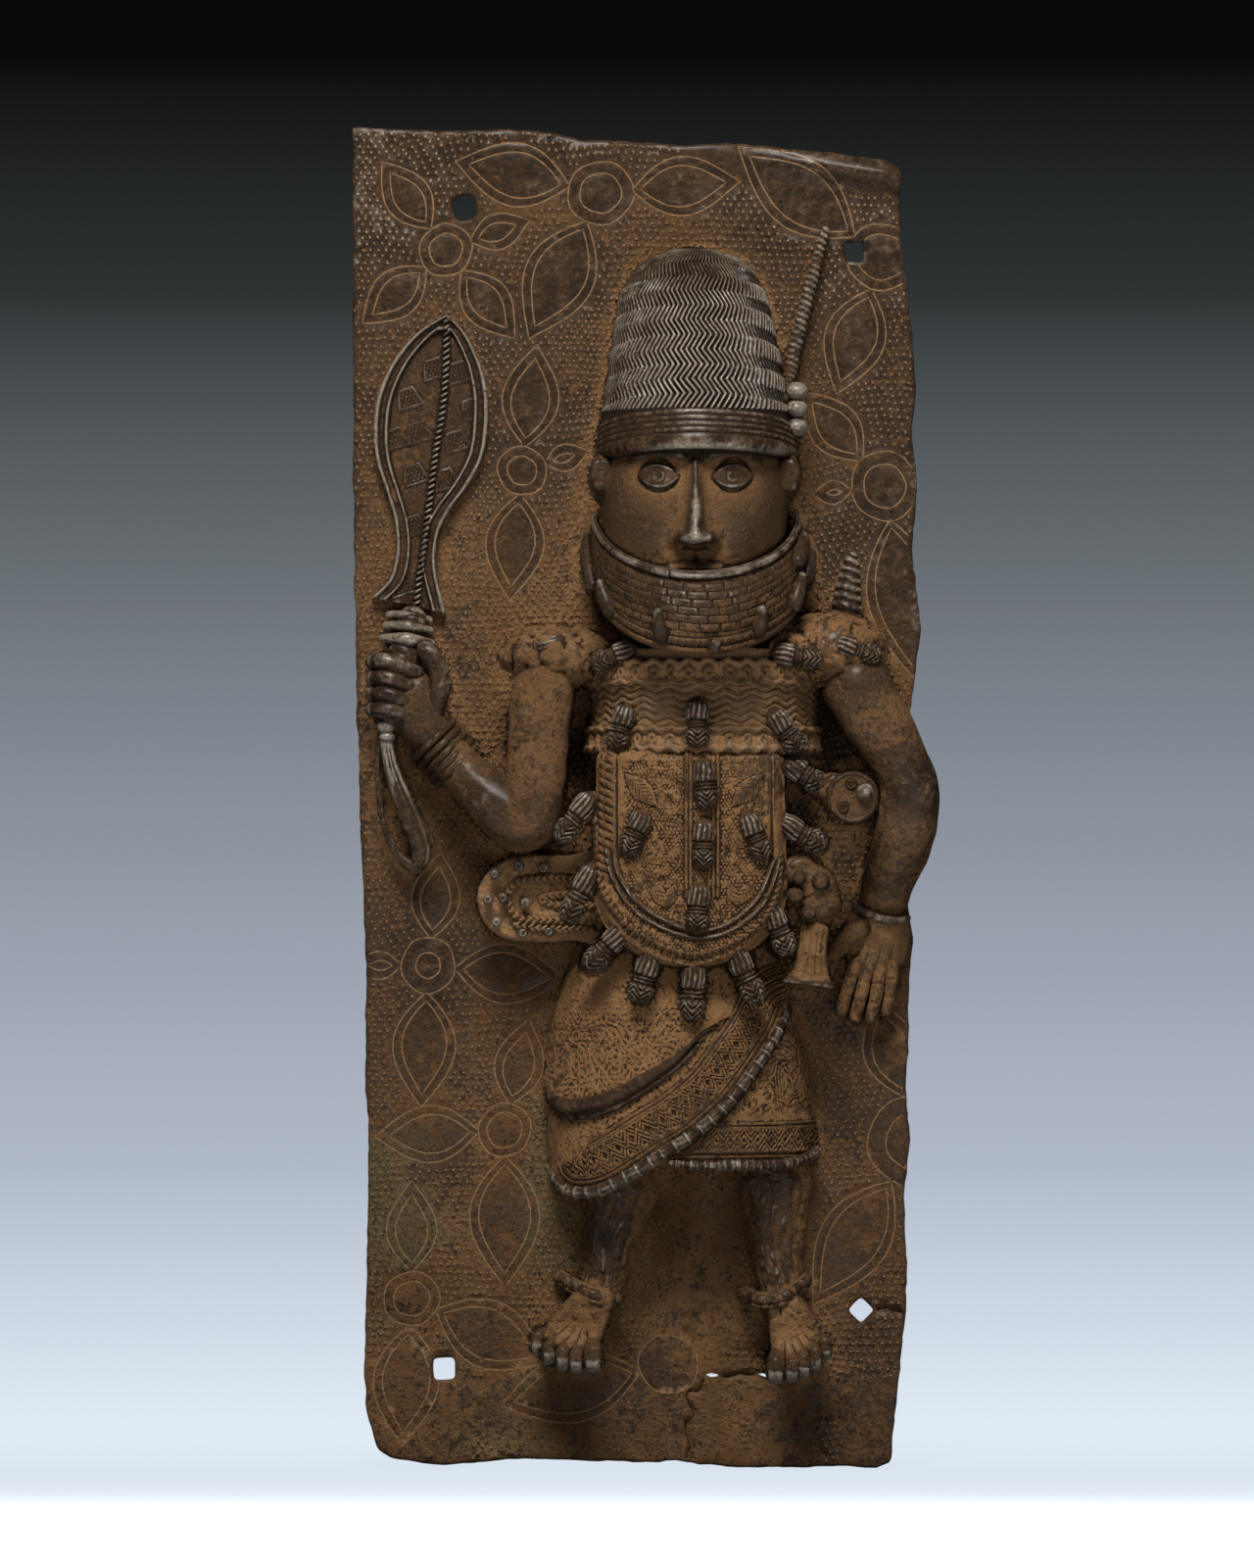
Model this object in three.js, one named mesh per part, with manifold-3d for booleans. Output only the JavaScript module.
// Cast brass relief plaque: a tall, thin plate with nail holes at its corners, and on it a warrior in high
// relief, all one casting. Millimetres. It is drawn in a relief frame, x to the right, y up and z out of the
// wall, and the exported group turns that upright: +Z up, the figure facing -Y, the origin on the flat back.
import * as THREE from "three";
import { mergeVertices } from "three/addons/utils/BufferGeometryUtils.js";
import Module from "manifold-3d";

const wasm = await Module();
wasm.setup();

// ---------------------------------------------------------------- driving dimensions
const PLATE_THICKNESS = 4;
const NAIL_HOLE = 9; // across the rough square holes
const HEAD = { x: 22.3, chin: 58, crown: 168, halfWidth: 33, front: 56 };
const EYE_LINE = (HEAD.chin + HEAD.crown) / 2; // eyes halfway up the head
const EYE_WIDTH = (2 * HEAD.halfWidth) / 5; // five eyes across the face
const BROW = EYE_LINE + 0.45 * EYE_WIDTH;
const NOSE_BASE = (BROW + HEAD.chin) / 2; // nose ends halfway from brow to chin
const TUFT = { radius: 4.1, sides: 6 };
const TORSO_FRONT = 44;
const SKIRT_FRONT = 40;
const COLLAR_RINGS = 5;
const SLACK = 0.2; // how far the finished surface may move where nearly flat triangles are merged

// ---------------------------------------------------------------- helpers
const v3 = (x, y, z) => new THREE.Vector3(x, y, z);

function toSolid(geometry) {
  const bare = geometry.index ? geometry.toNonIndexed() : geometry.clone();
  bare.deleteAttribute("normal");
  bare.deleteAttribute("uv");
  const merged = mergeVertices(bare, 1e-4);
  return new wasm.Manifold(
    new wasm.Mesh({
      numProp: 3,
      vertProperties: merged.attributes.position.array,
      triVerts: new Uint32Array(merged.index.array),
    }),
  );
}

// Moves every vertex of a geometry by place(x, y, z), which returns the new point.
function reshape(geometry, place) {
  const position = geometry.attributes.position;
  for (let i = 0; i < position.count; i++) {
    const p = place(position.getX(i), position.getY(i), position.getZ(i));
    position.setXYZ(i, p.x, p.y, p.z);
  }
  return geometry;
}

// The value at t of a row of [place, value...] stations, straight between them.
function between(stations, t) {
  const last = stations.length - 1;
  if (t <= stations[0][0]) return stations[0].slice(1);
  if (t >= stations[last][0]) return stations[last].slice(1);
  const i = stations.findIndex((s) => s[0] > t);
  const [a, b] = [stations[i - 1], stations[i]];
  const f = (t - a[0]) / (b[0] - a[0]);
  return a.slice(1).map((value, k) => value + f * (b[k + 1] - value));
}

// A round limb or roll along a smooth line through points. The radii are spread evenly along it, and flat
// squeezes its depth.
function limb(points, radii, sides = 10, steps = 8, flat = 1) {
  const line = new THREE.CatmullRomCurve3(points.map((p) => v3(...p)));
  const stations = radii.map((r, i) => [i / (radii.length - 1), r]);
  const out = v3(0, 0, 1);
  const tube = new THREE.CylinderGeometry(1, 1, 1, sides, steps);
  return toSolid(
    reshape(tube, (x, y, z) => {
      const t = y + 0.5;
      const along = line.getTangentAt(t);
      const side = along.clone().cross(out).normalize();
      const front = side.clone().cross(along).normalize();
      const [r] = between(stations, t);
      return line
        .getPointAt(t)
        .addScaledVector(side, x * r)
        .addScaledVector(front, z * r * flat);
    }),
  );
}

// A body built up from level sections [y, x of the middle, half width, front], each an oval about depth zero
// that a power under one squares off.
function stack(sections, { sides, power }) {
  const rows = sections.length - 1;
  const drum = new THREE.CylinderGeometry(1, 1, 1, sides, rows);
  return toSolid(
    reshape(drum, (x, y, z) => {
      const [level, middle, half, front] = sections[Math.round((y + 0.5) * rows)];
      return v3(middle + x * half, level, Math.sign(z) * Math.abs(z) ** power * front);
    }),
  );
}

function ball(x, y, z, rx, ry, rz, around = 10, down = 7) {
  const sphere = new THREE.SphereGeometry(1, around, down);
  return toSolid(sphere.scale(rx, ry, rz).translate(x, y, z));
}

// A turned piece of [distance along, radius] stations, starting at point a and heading for point b.
function turned(profile, a, b, sides) {
  const outline = profile.map(([along, r]) => new THREE.Vector2(r, along));
  const lathe = new THREE.LatheGeometry(outline, sides);
  const turn = new THREE.Quaternion().setFromUnitVectors(
    v3(0, 1, 0),
    v3(...b).sub(v3(...a)).normalize(),
  );
  return toSolid(lathe.applyQuaternion(turn).translate(...a));
}

const join = (solids) => wasm.Manifold.union(solids);

// ---------------------------------------------------------------- ground plate
// Nail holes: centre, and how far the square is turned.
const NAIL_HOLES = [
  { x: -59.8, y: 210.4, turn: 0.2 },
  { x: 79.3, y: 194.7, turn: 0 },
  { x: -67.1, y: -203.8, turn: 0.05 },
  { x: 81.8, y: -182.8, turn: Math.PI / 4 },
];

// The worn outline, clockwise from the top left corner.
const PLATE_EDGE = [
  [-99.3, 238.7], [-43.7, 238.4], [-28, 237], [-18.5, 234.5], [35, 233.5], [71.7, 230], [92, 227], [96.3, 222],
  [95.1, 214.6], [95.8, 197], [100, 164], [101, 144.7], [99.6, 130.7], [101.7, 110], [99.6, 89], [102.6, 61],
  [100.7, 40], [97.5, 26], [97.5, -30], [100.3, -51], [98.6, -65], [98.9, -122.7], [97.2, -142], [97.9, -170],
  [97.5, -184], [94, -218.8], [91.5, -236.5], [87, -239], [40, -238.9], [24.5, -237.5], [15.7, -235.8],
  [7, -237.2], [-43.7, -236], [-64.7, -238.5], [-85.6, -235.8], [-91, -232.5], [-94.7, -218.8], [-95.4, -205],
  [-93.8, -115], [-95.1, -105], [-94.4, -65], [-97.2, 5], [-98.9, 75],
];

// A torn crack in the lower plate, anticlockwise like the holes.
const CRACK = [[23.4, -214.2], [24.4, -216.5], [28, -212.6], [32, -209.4], [46.5, -211.3], [49.5, -210],
  [45, -207.8], [31, -207.2], [26.5, -208.5]];

function plate() {
  const shape = new THREE.Shape(PLATE_EDGE.map(([x, y]) => new THREE.Vector2(x, y)));
  for (const { x, y, turn } of NAIL_HOLES) {
    const hole = new THREE.Path();
    const reach = NAIL_HOLE / Math.SQRT2;
    for (let corner = 0; corner < 4; corner++) {
      const a = turn + Math.PI / 4 + (corner * Math.PI) / 2;
      const p = [x + reach * Math.cos(a), y + reach * Math.sin(a)];
      if (corner === 0) hole.moveTo(...p);
      else hole.lineTo(...p);
    }
    shape.holes.push(hole);
  }
  shape.holes.push(new THREE.Path(CRACK.map(([x, y]) => new THREE.Vector2(x, y))));
  return toSolid(new THREE.ExtrudeGeometry(shape, { depth: PLATE_THICKNESS, bevelEnabled: false }));
}

// ---------------------------------------------------------------- headdress and head
function hat() {
  // y, middle, half width, front: a tall domed cap over a ringed rim, sinking back into the plate at its top
  return stack(
    [
      [122, 23, 35, 59], [124, 23, 36.6, 61], [126, 23, 35, 59], [128, 23, 36.2, 61], [130, 23, 33.6, 58.5],
      [142, 23, 32.6, 57.5], [153, 22.7, 31, 54.5], [163, 22.4, 29.3, 50], [173, 22, 27.6, 45.5],
      [182, 21.8, 25, 38.5], [189.5, 22, 19.5, 29], [195.8, 22, 9, 13],
    ],
    { sides: 20, power: 0.8 },
  );
}

function face() {
  const middle = EYE_LINE - 10;
  const parts = [ball(HEAD.x, middle, 18, HEAD.halfWidth, 44, HEAD.front - 18, 16, 10)];
  for (const side of [-1, 1]) {
    const at = (share) => HEAD.x + side * share * EYE_WIDTH;
    const brow = [[at(0.3), BROW - 1.5, 51.5], [at(1), BROW + 1.2, 49.5], [at(1.75), BROW - 2, 42.5]];
    parts.push(
      ball(at(1), EYE_LINE, 48, EYE_WIDTH / 2, 3.4, 5.4, 8, 5),
      limb(brow, [1.6, 2, 1.4], 5, 4),
      ball(at(0.34), NOSE_BASE + 2.8, 54.5, 3.4, 3, 4.4, 6, 5),
      ball(HEAD.x + side * (HEAD.halfWidth - 0.5), EYE_LINE + 1, 24, 5.2, 8.5, 7, 7, 5),
    );
  }
  const bridge = [[HEAD.x, BROW, 50], [HEAD.x, EYE_LINE - 6, 55], [HEAD.x, NOSE_BASE + 2.5, 58.5]];
  parts.push(limb(bridge, [2.4, 2.9, 4.4], 7, 4));
  return join(parts);
}

// ---------------------------------------------------------------- high bead collar with teeth
const COLLAR_TOP = { x: 23, y: 101, half: 36.5, sag: 22, front: 63 };
const COLLAR_FOOT = { x: 24, y: 77, half: 37.5, sag: 26.5, front: 64 };

// A point on the collar: share 0 at the foot, 1 at the top rim, and angle round from the middle of the front.
function collarPoint(share, angle, proud = 0) {
  const mix = (key) => COLLAR_FOOT[key] + share * (COLLAR_TOP[key] - COLLAR_FOOT[key]);
  const belly = 3 * Math.sin(Math.PI * share) + proud;
  const forward = Math.cos(angle);
  return v3(
    mix("x") + (mix("half") + belly * 0.4) * Math.sin(angle),
    mix("y") - mix("sag") * Math.max(forward, 0),
    8 + (mix("front") - 8 + belly) * Math.max(forward, -0.1),
  );
}

function collar() {
  const rows = COLLAR_RINGS * 2;
  const band = new THREE.CylinderGeometry(1, 1, 1, 20, rows);
  const solid = toSolid(
    reshape(band, (x, y, z) => {
      const share = y + 0.5;
      if (x * x + z * z < 0.5) return share > 0.5 ? v3(HEAD.x, 76, 36) : v3(HEAD.x, 62, 30);
      const row = Math.round(share * rows);
      return collarPoint(share, Math.atan2(x, z), row % 2 ? 1 : -0.5);
    }),
  );
  // leopard teeth round the foot, each standing up from the lowest ring
  const teeth = [-1.45, -0.95, -0.45, 0, 0.5, 0.95, 1.35].map((angle) => {
    const root = collarPoint(0.08, angle, 2.2);
    const tip = collarPoint(angle === 0 ? 0.25 : 0.6, angle * 1.06, 4);
    const length = root.distanceTo(tip);
    return turned([[-1, 0], [0, 2.5], [length * 0.55, 2], [length, 0]], root.toArray(), tip.toArray(), 5);
  });
  return join([solid, ...teeth]);
}

// ---------------------------------------------------------------- torso, shoulder cape and tunic
// How far the dress stands out at x over the body.
const bodyFront = (x) => 31 + (TORSO_FRONT - 30) * Math.sqrt(Math.max(1 - ((x - 21) / 43) ** 2, 0));

function torso() {
  const chest = stack(
    [
      [-62, 20, 30, 34], [-40, 21, 33, 38], [14, 20.5, 35, 42], [18, 25, 41, 45.5], [22, 25, 39, 43.5],
      [37, 25.5, 39, 43.5], [42, 25.5, 42, 45], [46, 25, 34, 40], [58, 24, 23, 34],
    ],
    { sides: 16, power: 0.6 },
  );
  // the tunic's front: a long bib with a round foot, standing proud of the chest and the skirt
  const bib = new THREE.BoxGeometry(2, 1, 1, 8, 10, 1);
  const tunic = toSolid(
    reshape(bib, (x, y, z) => {
      const drop = 0.5 - y; // 0 at the chest, 1 at the round foot
      const round = Math.sqrt(Math.max(1 - (Math.max(drop - 0.62, 0) / 0.385) ** 2, 0.02));
      const across = 20.5 + x * (34.5 + 2.5 * drop) * round;
      const front = bodyFront(across) + 1.5 + Math.max(drop - 0.7, 0) * 4;
      return v3(across, 15 - drop * 74, z > 0 ? front : 24);
    }),
  );
  const border = [];
  for (let i = 0; i <= 8; i++) {
    const a = Math.PI * (i / 8);
    const across = 20.5 - 33.5 * Math.cos(a);
    border.push([across, -27 - 30 * Math.sin(a) ** 0.8, bodyFront(across) + 1.6]);
  }
  const hem = [[-13, 12, 39], [-13.6, -10, 38.5], ...border, [54.6, -10, 38.5], [54, 12, 39]];
  return join([
    chest,
    tunic,
    limb(hem, [2, 2], 5, 20),
    ball(-27, 50, 24, 19, 11, 13, 10, 7),
    ball(70, 53, 22, 20, 13, 15, 10, 7),
  ]);
}

// ---------------------------------------------------------------- tufts sewn over the dress
// Each tuft runs from its tied end to its round end, as [x, y, z] to [x, y, z].
const TUFTS = [
  // on the chest and down the middle of the tunic
  [[-1.5, 33, 38], [-6, 16, 39]], [[23, 35, 45], [23, 17.5, 47]], [[49, 31, 39.5], [59.5, 16, 37.5]],
  [[25.2, 14, 46], [26.6, -4.5, 47]], [[25.6, -7.5, 46], [25, -25, 47]], [[23.8, -30, 46], [22.5, -48, 47]],
  [[4.5, -4.5, 44.5], [-1.7, -20, 44.5]], [[40, -5, 44], [47, -22, 43.5]],
  // standing out from its sides
  [[-13.5, 1.5, 35], [-26.5, -15.5, 35]], [[-13, -23.5, 37], [-23.5, -44.5, 36]],
  [[53.5, 13.5, 36], [68.5, 3, 36]], [[51, -7.5, 37], [69, -18, 34]],
  // round its foot
  [[-1.5, -45, 40], [-16.5, -60.5, 38]], [[6.8, -54, 42], [2, -72.5, 41]], [[22, -57, 44], [21, -79, 42]],
  [[35.5, -52, 42], [44.5, -72.5, 40]], [[48, -37, 40], [55.5, -55.5, 38]],
  // on the shoulders
  [[1, 53, 34.5], [-14.5, 46.5, 34.5]], [[-24, 55, 33], [-42.5, 49.5, 30]],
  [[49, 51, 38], [67.5, 49, 38]], [[70.5, 55, 35], [88, 49.5, 32]],
];

function tufts() {
  const r = TUFT.radius;
  return TUFTS.map(([tied, round]) => {
    const length = v3(...tied).distanceTo(v3(...round));
    const stations = [[-1, 0], [0, 0.6], [0.5 * length, 1], [0.62 * length, 0.8], [0.8 * length, 1.12],
      [0.97 * length, 0.6], [length, 0]];
    const profile = stations.map(([along, swell]) => [along, swell * r]);
    return turned(profile, tied, round, TUFT.sides);
  });
}

// ---------------------------------------------------------------- skirt and its folds
const SKIRT = [
  // y, middle, half width, front
  [-129, 19, 48.7, 41], [-116, 18, 48.4, 41], [-99, 17, 47.6, SKIRT_FRONT], [-85, 16.4, 45.8, SKIRT_FRONT],
  [-68, 14.5, 40, SKIRT_FRONT - 1], [-50, 17, 35.5, 37], [-42, 18, 34, 35],
];
// How low the hem hangs at x: the wrap dips on the left and the under-skirt is level on the right.
const HEM_LEVEL = [[-31, -131.5], [-24, -137], [-14, -138], [2, -133], [16, -128], [70, -129]];

function skirt() {
  const drum = new THREE.CylinderGeometry(1, 1, 1, 20, 6);
  const cloth = toSolid(
    reshape(drum, (x, y, z) => {
      const share = y + 0.5;
      const level = -129 + share * 87;
      const [middle, half, front] = between(SKIRT, level);
      const across = middle + x * half;
      const drop = (1 - Math.min(share * 2, 1)) * (between(HEM_LEVEL, across)[0] + 129);
      return v3(across, level + drop, Math.sign(z) * Math.abs(z) ** 0.75 * front);
    }),
  );
  const laid = (points, lift) =>
    points.map(([x, y]) => {
      const [middle, half, front] = between(SKIRT, y);
      const bend = Math.max(1 - Math.abs((x - middle) / half) ** 2.4, 0) ** 0.4;
      return [x, y, front * bend + lift];
    });
  const wrapHem = laid(
    [[-29, -128], [-25, -135.5], [-15, -138], [-1, -133.5], [17, -123], [34, -106.5], [46, -89.5], [53, -76]],
    0.5,
  );
  const underHem = laid([[17, -127.5], [36, -129], [53, -129.5], [63, -127]], 0);
  const fold = laid([[-28, -95], [-25, -102], [-16, -105.5], [-1, -101.5], [16, -92.5], [30, -84]], 0);
  return join([
    cloth,
    limb(wrapHem, [2.2, 2.4, 2.4, 2.3, 1.8], 5, 14),
    limb(underHem, [1.8, 2.2, 1.8], 5, 6),
    limb(fold, [3, 4, 4, 3.2, 1.4], 6, 8),
  ]);
}

// ---------------------------------------------------------------- legs and feet
function leg({ top, ankle, heel, toes, anklet }) {
  const knee = [(top[0] + ankle[0]) / 2, (top[1] + ankle[1]) / 2, 12];
  const [padX, padY, padZ] = toes[2]; // the middle toe, behind which the pad of the foot lies
  const sole = [heel, [(heel[0] + padX) / 2, heel[1] - 5, 20], [padX, padY + 4, padZ - 4]];
  const parts = [
    limb([top, knee, ankle, heel], [17.5, 14.5, 10, 9.8], 11, 6),
    limb(sole, [8.6, 10.5, 9.5], 10, 4, 0.8),
    limb(anklet, [2, 2.4, 2.4, 2], 5, 7),
  ];
  toes.forEach(([x, y, z], i) => {
    const r = i === toes.length - 1 ? 3.4 : 2.6;
    const toe = [[x + (heel[0] - x) * 0.2, y + 7, z - 3], [x, y + 1, z], [x, y - 2.5, z - 2]];
    parts.push(limb(toe, [r, r * 1.1, r * 0.6], 5, 2));
  });
  return join(parts);
}

function legs() {
  return join([
    leg({
      top: [-1, -126, 12], ankle: [-10.8, -173, 13], heel: [-15, -183, 14],
      toes: [
        [-33.5, -191.5, 21], [-29.3, -194.5, 23.5], [-24.6, -196.5, 25.5], [-19.8, -197.5, 27],
        [-13.8, -196.5, 28],
      ],
      anklet: [[-22, -172, 12], [-17, -176, 22], [-9, -178.5, 24], [-1.5, -178, 16]],
    }),
    leg({
      top: [49, -122, 12], ankle: [52.3, -176, 13], heel: [55, -186, 14],
      toes: [
        [68.4, -193, 20], [65, -196.5, 23], [60.8, -199, 25.5], [56.6, -200.5, 27], [50.8, -200.5, 28],
      ],
      anklet: [[42.5, -179.5, 14], [47, -181, 22], [55, -179.5, 25], [63.5, -176, 16]],
    }),
  ]);
}

// ---------------------------------------------------------------- arms, hands and sword
function swordArm() {
  const fingers = [47.5, 41.5, 35.5, 30].map((y) =>
    limb([[-91, y + 0.5, 14], [-88, y + 1.4, 21], [-77, y - 2, 20]], [2.7, 3.2, 2.6], 6, 4),
  );
  return join([
    limb(
      [[-29.5, 50, 27], [-32.5, 30, 29], [-34.5, 5, 31], [-37.5, -9, 30.5], [-49, -1, 27.5], [-64, 13, 21]],
      [9.5, 11, 10.6, 10.4, 10.8, 9.6, 7.4], 11, 12,
    ),
    limb([[-71.5, 7.5, 15], [-66.5, 15.5, 28.5], [-60.5, 23.5, 15]], [3.2, 3.6, 3.2], 6, 5),
    limb([[-64, 14, 18], [-75, 27, 15], [-77, 44, 14]], [7, 9.5, 8], 9, 4),
    limb([[-75, 53, 17], [-70.5, 46, 20], [-71, 28, 18]], [3.2, 4.2, 3.8], 7, 5),
    ...fingers,
  ]);
}

// The blade's two edges from its tip down: broad above, waisted, and flaring again at the foot.
const BLADE_TIP = [-66, 172.4];
const BLADE_LEFT = [
  BLADE_TIP, [-76.8, 165.4], [-85.5, 154.9], [-90.7, 142.7], [-92.1, 130.5], [-91.1, 120.1], [-87.9, 109.6],
  [-84.8, 99.1], [-84.1, 88.6], [-86.5, 78.2], [-92.6, 71.5],
];
const BLADE_RIGHT = [
  BLADE_TIP, [-59.3, 165.4], [-54.1, 154.9], [-51.6, 144.5], [-51.3, 134], [-53, 121.8], [-58.3, 111.3],
  [-64.6, 102.6], [-68.7, 93.9], [-69.8, 81.7], [-66.2, 65.5],
];

function sword() {
  const outline = [...BLADE_LEFT, [-80, 68.5], [-73.5, 66.5], ...BLADE_RIGHT.slice(1).reverse()];
  const shape = new THREE.Shape(outline.map(([x, y]) => new THREE.Vector2(x, y)));
  const slab = new THREE.ExtrudeGeometry(shape, { depth: 5, bevelEnabled: false });
  const rim = (side, inset) => side.map(([x, y], i) => [x + (i ? inset : inset / 3), y - (i ? 0 : 2), 8.2]);
  const midrib = [[-66.2, 170, 8], [-68, 140, 8.6], [-71.5, 105, 8.6], [-76, 66, 9], [-79, 57, 9]];
  const strap = [
    [-86.5, 24, 16], [-90.8, 14, 12], [-90.5, 0, 10], [-86.5, -14, 10], [-78, -23, 10], [-74.5, -16, 12],
    [-77, -3, 13], [-82, 10, 15], [-86, 22, 17],
  ];
  return join([
    toSolid(slab.translate(0, 0, 3)),
    limb(rim(BLADE_LEFT, 2.6), [1.2, 2.4, 2.4, 2.2, 2.2], 5, 12),
    limb(rim(BLADE_RIGHT, -2.4), [1.2, 2.4, 2.4, 2.2, 2.2], 5, 12),
    limb(midrib, [1.3, 2, 2, 2.2], 5, 6),
    limb([[-77, 66, 8], [-80, 56, 13], [-83, 40, 15], [-86.5, 22, 13]], [4.5, 6, 5, 4], 7, 6, 0.8),
    limb([[-90, 58, 11], [-81, 57, 16.5], [-72.5, 54.5, 11]], [2.3, 2.8, 2.3], 6, 4),
    limb(strap, [1.8, 2, 2.2, 2.2, 2], 5, 15),
  ]);
}

function restingArm() {
  // knuckle x, y and tip x, y
  const fingers = [
    [81, -56, 75, -76.5], [84.6, -57, 79, -78.5], [88.4, -57.5, 84.3, -79.5], [92, -57, 89.6, -77.5],
  ].map(([x0, y0, x1, y1]) => limb([[x0, y0, 12], [x1, y1, 8]], [3, 2.2], 6, 1));
  return join([
    limb(
      [[76, 48, 22], [82, 38, 26], [91, 21, 28], [98, 2, 27], [96, -14, 24], [90.3, -32, 18], [88.5, -43, 14]],
      [12, 13.2, 11.6, 11, 10.8, 9.4, 9.4], 11, 12,
    ),
    limb([[79, -38, 12], [83, -39, 23], [90, -41, 26], [98.5, -42.5, 14]], [1.8, 2.2, 2.2, 1.8], 5, 5),
    ball(87.5, -50, 11, 10.6, 11.5, 8, 10, 7),
    limb([[84, -46, 13], [76, -51, 14], [69.8, -56.5, 12]], [4.2, 3.6, 2.8], 6, 3),
    ...fingers,
  ]);
}

// ---------------------------------------------------------------- things worn at the hip and on the plate
function scabbardEnd() {
  const shape = new THREE.Shape();
  shape.moveTo(-12, -22);
  shape.bezierCurveTo(-24, -20.5, -34, -19.5, -40, -20.5);
  shape.bezierCurveTo(-50, -22, -55, -28, -54.5, -36);
  shape.bezierCurveTo(-54, -46, -47, -50, -40, -50);
  shape.bezierCurveTo(-30, -51, -22, -50, -12, -49);
  const slab = new THREE.ExtrudeGeometry(shape, { depth: 20, bevelEnabled: false, curveSegments: 4 });
  const studs = [
    [-50, -27], [-40, -23.8], [-31, -24.5], [-51, -36.5], [-48, -45], [-38.5, -47], [-29, -47.4],
  ].map(([x, y]) => ball(x, y, 24.6, 2.1, 2.1, 1.8, 5, 4));
  const cord = [
    [-20, -31, 24.4], [-38, -29.5, 24.6], [-42.5, -36, 24.6], [-37, -42.5, 24.6], [-20, -42.5, 24.4],
  ];
  return join([toSolid(slab.translate(0, 0, 4.5)), ...studs, limb(cord, [1.5, 1.5], 5, 9)]);
}

function hipBell() {
  const flare = [[-1, 0], [0, 4.4], [13, 4.6], [18.5, 7.6], [20.5, 8.6], [21, 0]];
  return join([
    turned(flare, [66, -44, 33], [61.5, -66, 35], 10),
    limb([[54, -20, 28], [62, -26, 30], [64, -38, 30], [66, -47, 32]], [7, 7.4, 8.4, 4], 8, 6),
  ]);
}

function daggerDisc() {
  const disc = [[-5, 0], [-5, 5], [0, 7.4], [2.5, 7.6], [3.4, 5], [3.6, 0]];
  return join([
    turned(disc, [76.5, 1, 40], [77.5, 1.4, 50], 12),
    ball(79.5, 0.6, 43.5, 2.6, 2.6, 2.6, 6, 5),
    limb([[62, 6, 33], [70, 4, 36], [76, 1, 38]], [4, 4.6, 5], 7, 3),
  ]);
}

function plumeAndLeaf() {
  const spine = [[55.5, 147, 14], [57.5, 158, 12], [63, 180, 8.5], [69.5, 203, 6]];
  const plume = limb(spine, [3.2, 3, 2.6, 1.6], 6, 5);
  const beads = [132, 138, 144].map((y) => ball(58.6, y, 20, 4, 3.5, 5, 7, 5));
  const leaf = limb([[73.5, 56, 5], [75, 64, 6], [76, 74, 6], [77, 86, 4]], [3, 5.4, 5, 1], 7, 6);
  return [plume, ...beads, leaf];
}

// ---------------------------------------------------------------- the casting
const casting = join([
  plate(), hat(), face(), collar(), torso(), ...tufts(), skirt(), legs(), swordArm(), sword(), restingArm(),
  scabbardEnd(), hipBell(), daggerDisc(), ...plumeAndLeaf(),
])
  .trimByPlane([0, 0, 1], 0)
  .asOriginal()
  .simplify(SLACK);

const { vertProperties, triVerts } = casting.getMesh();
const geometry = new THREE.BufferGeometry()
  .setAttribute("position", new THREE.BufferAttribute(vertProperties, 3))
  .setIndex(new THREE.BufferAttribute(triVerts, 1));
geometry.computeVertexNormals();

const brass = new THREE.MeshStandardMaterial({ color: 0x6b4a2f, roughness: 0.5, metalness: 0.7 });
const plaque = new THREE.Mesh(geometry, brass);
plaque.name = "plaque";

const part = new THREE.Group();
part.add(plaque);
part.rotation.x = Math.PI / 2; // relief frame to upright: y becomes up, z comes out towards -Y
export default part;
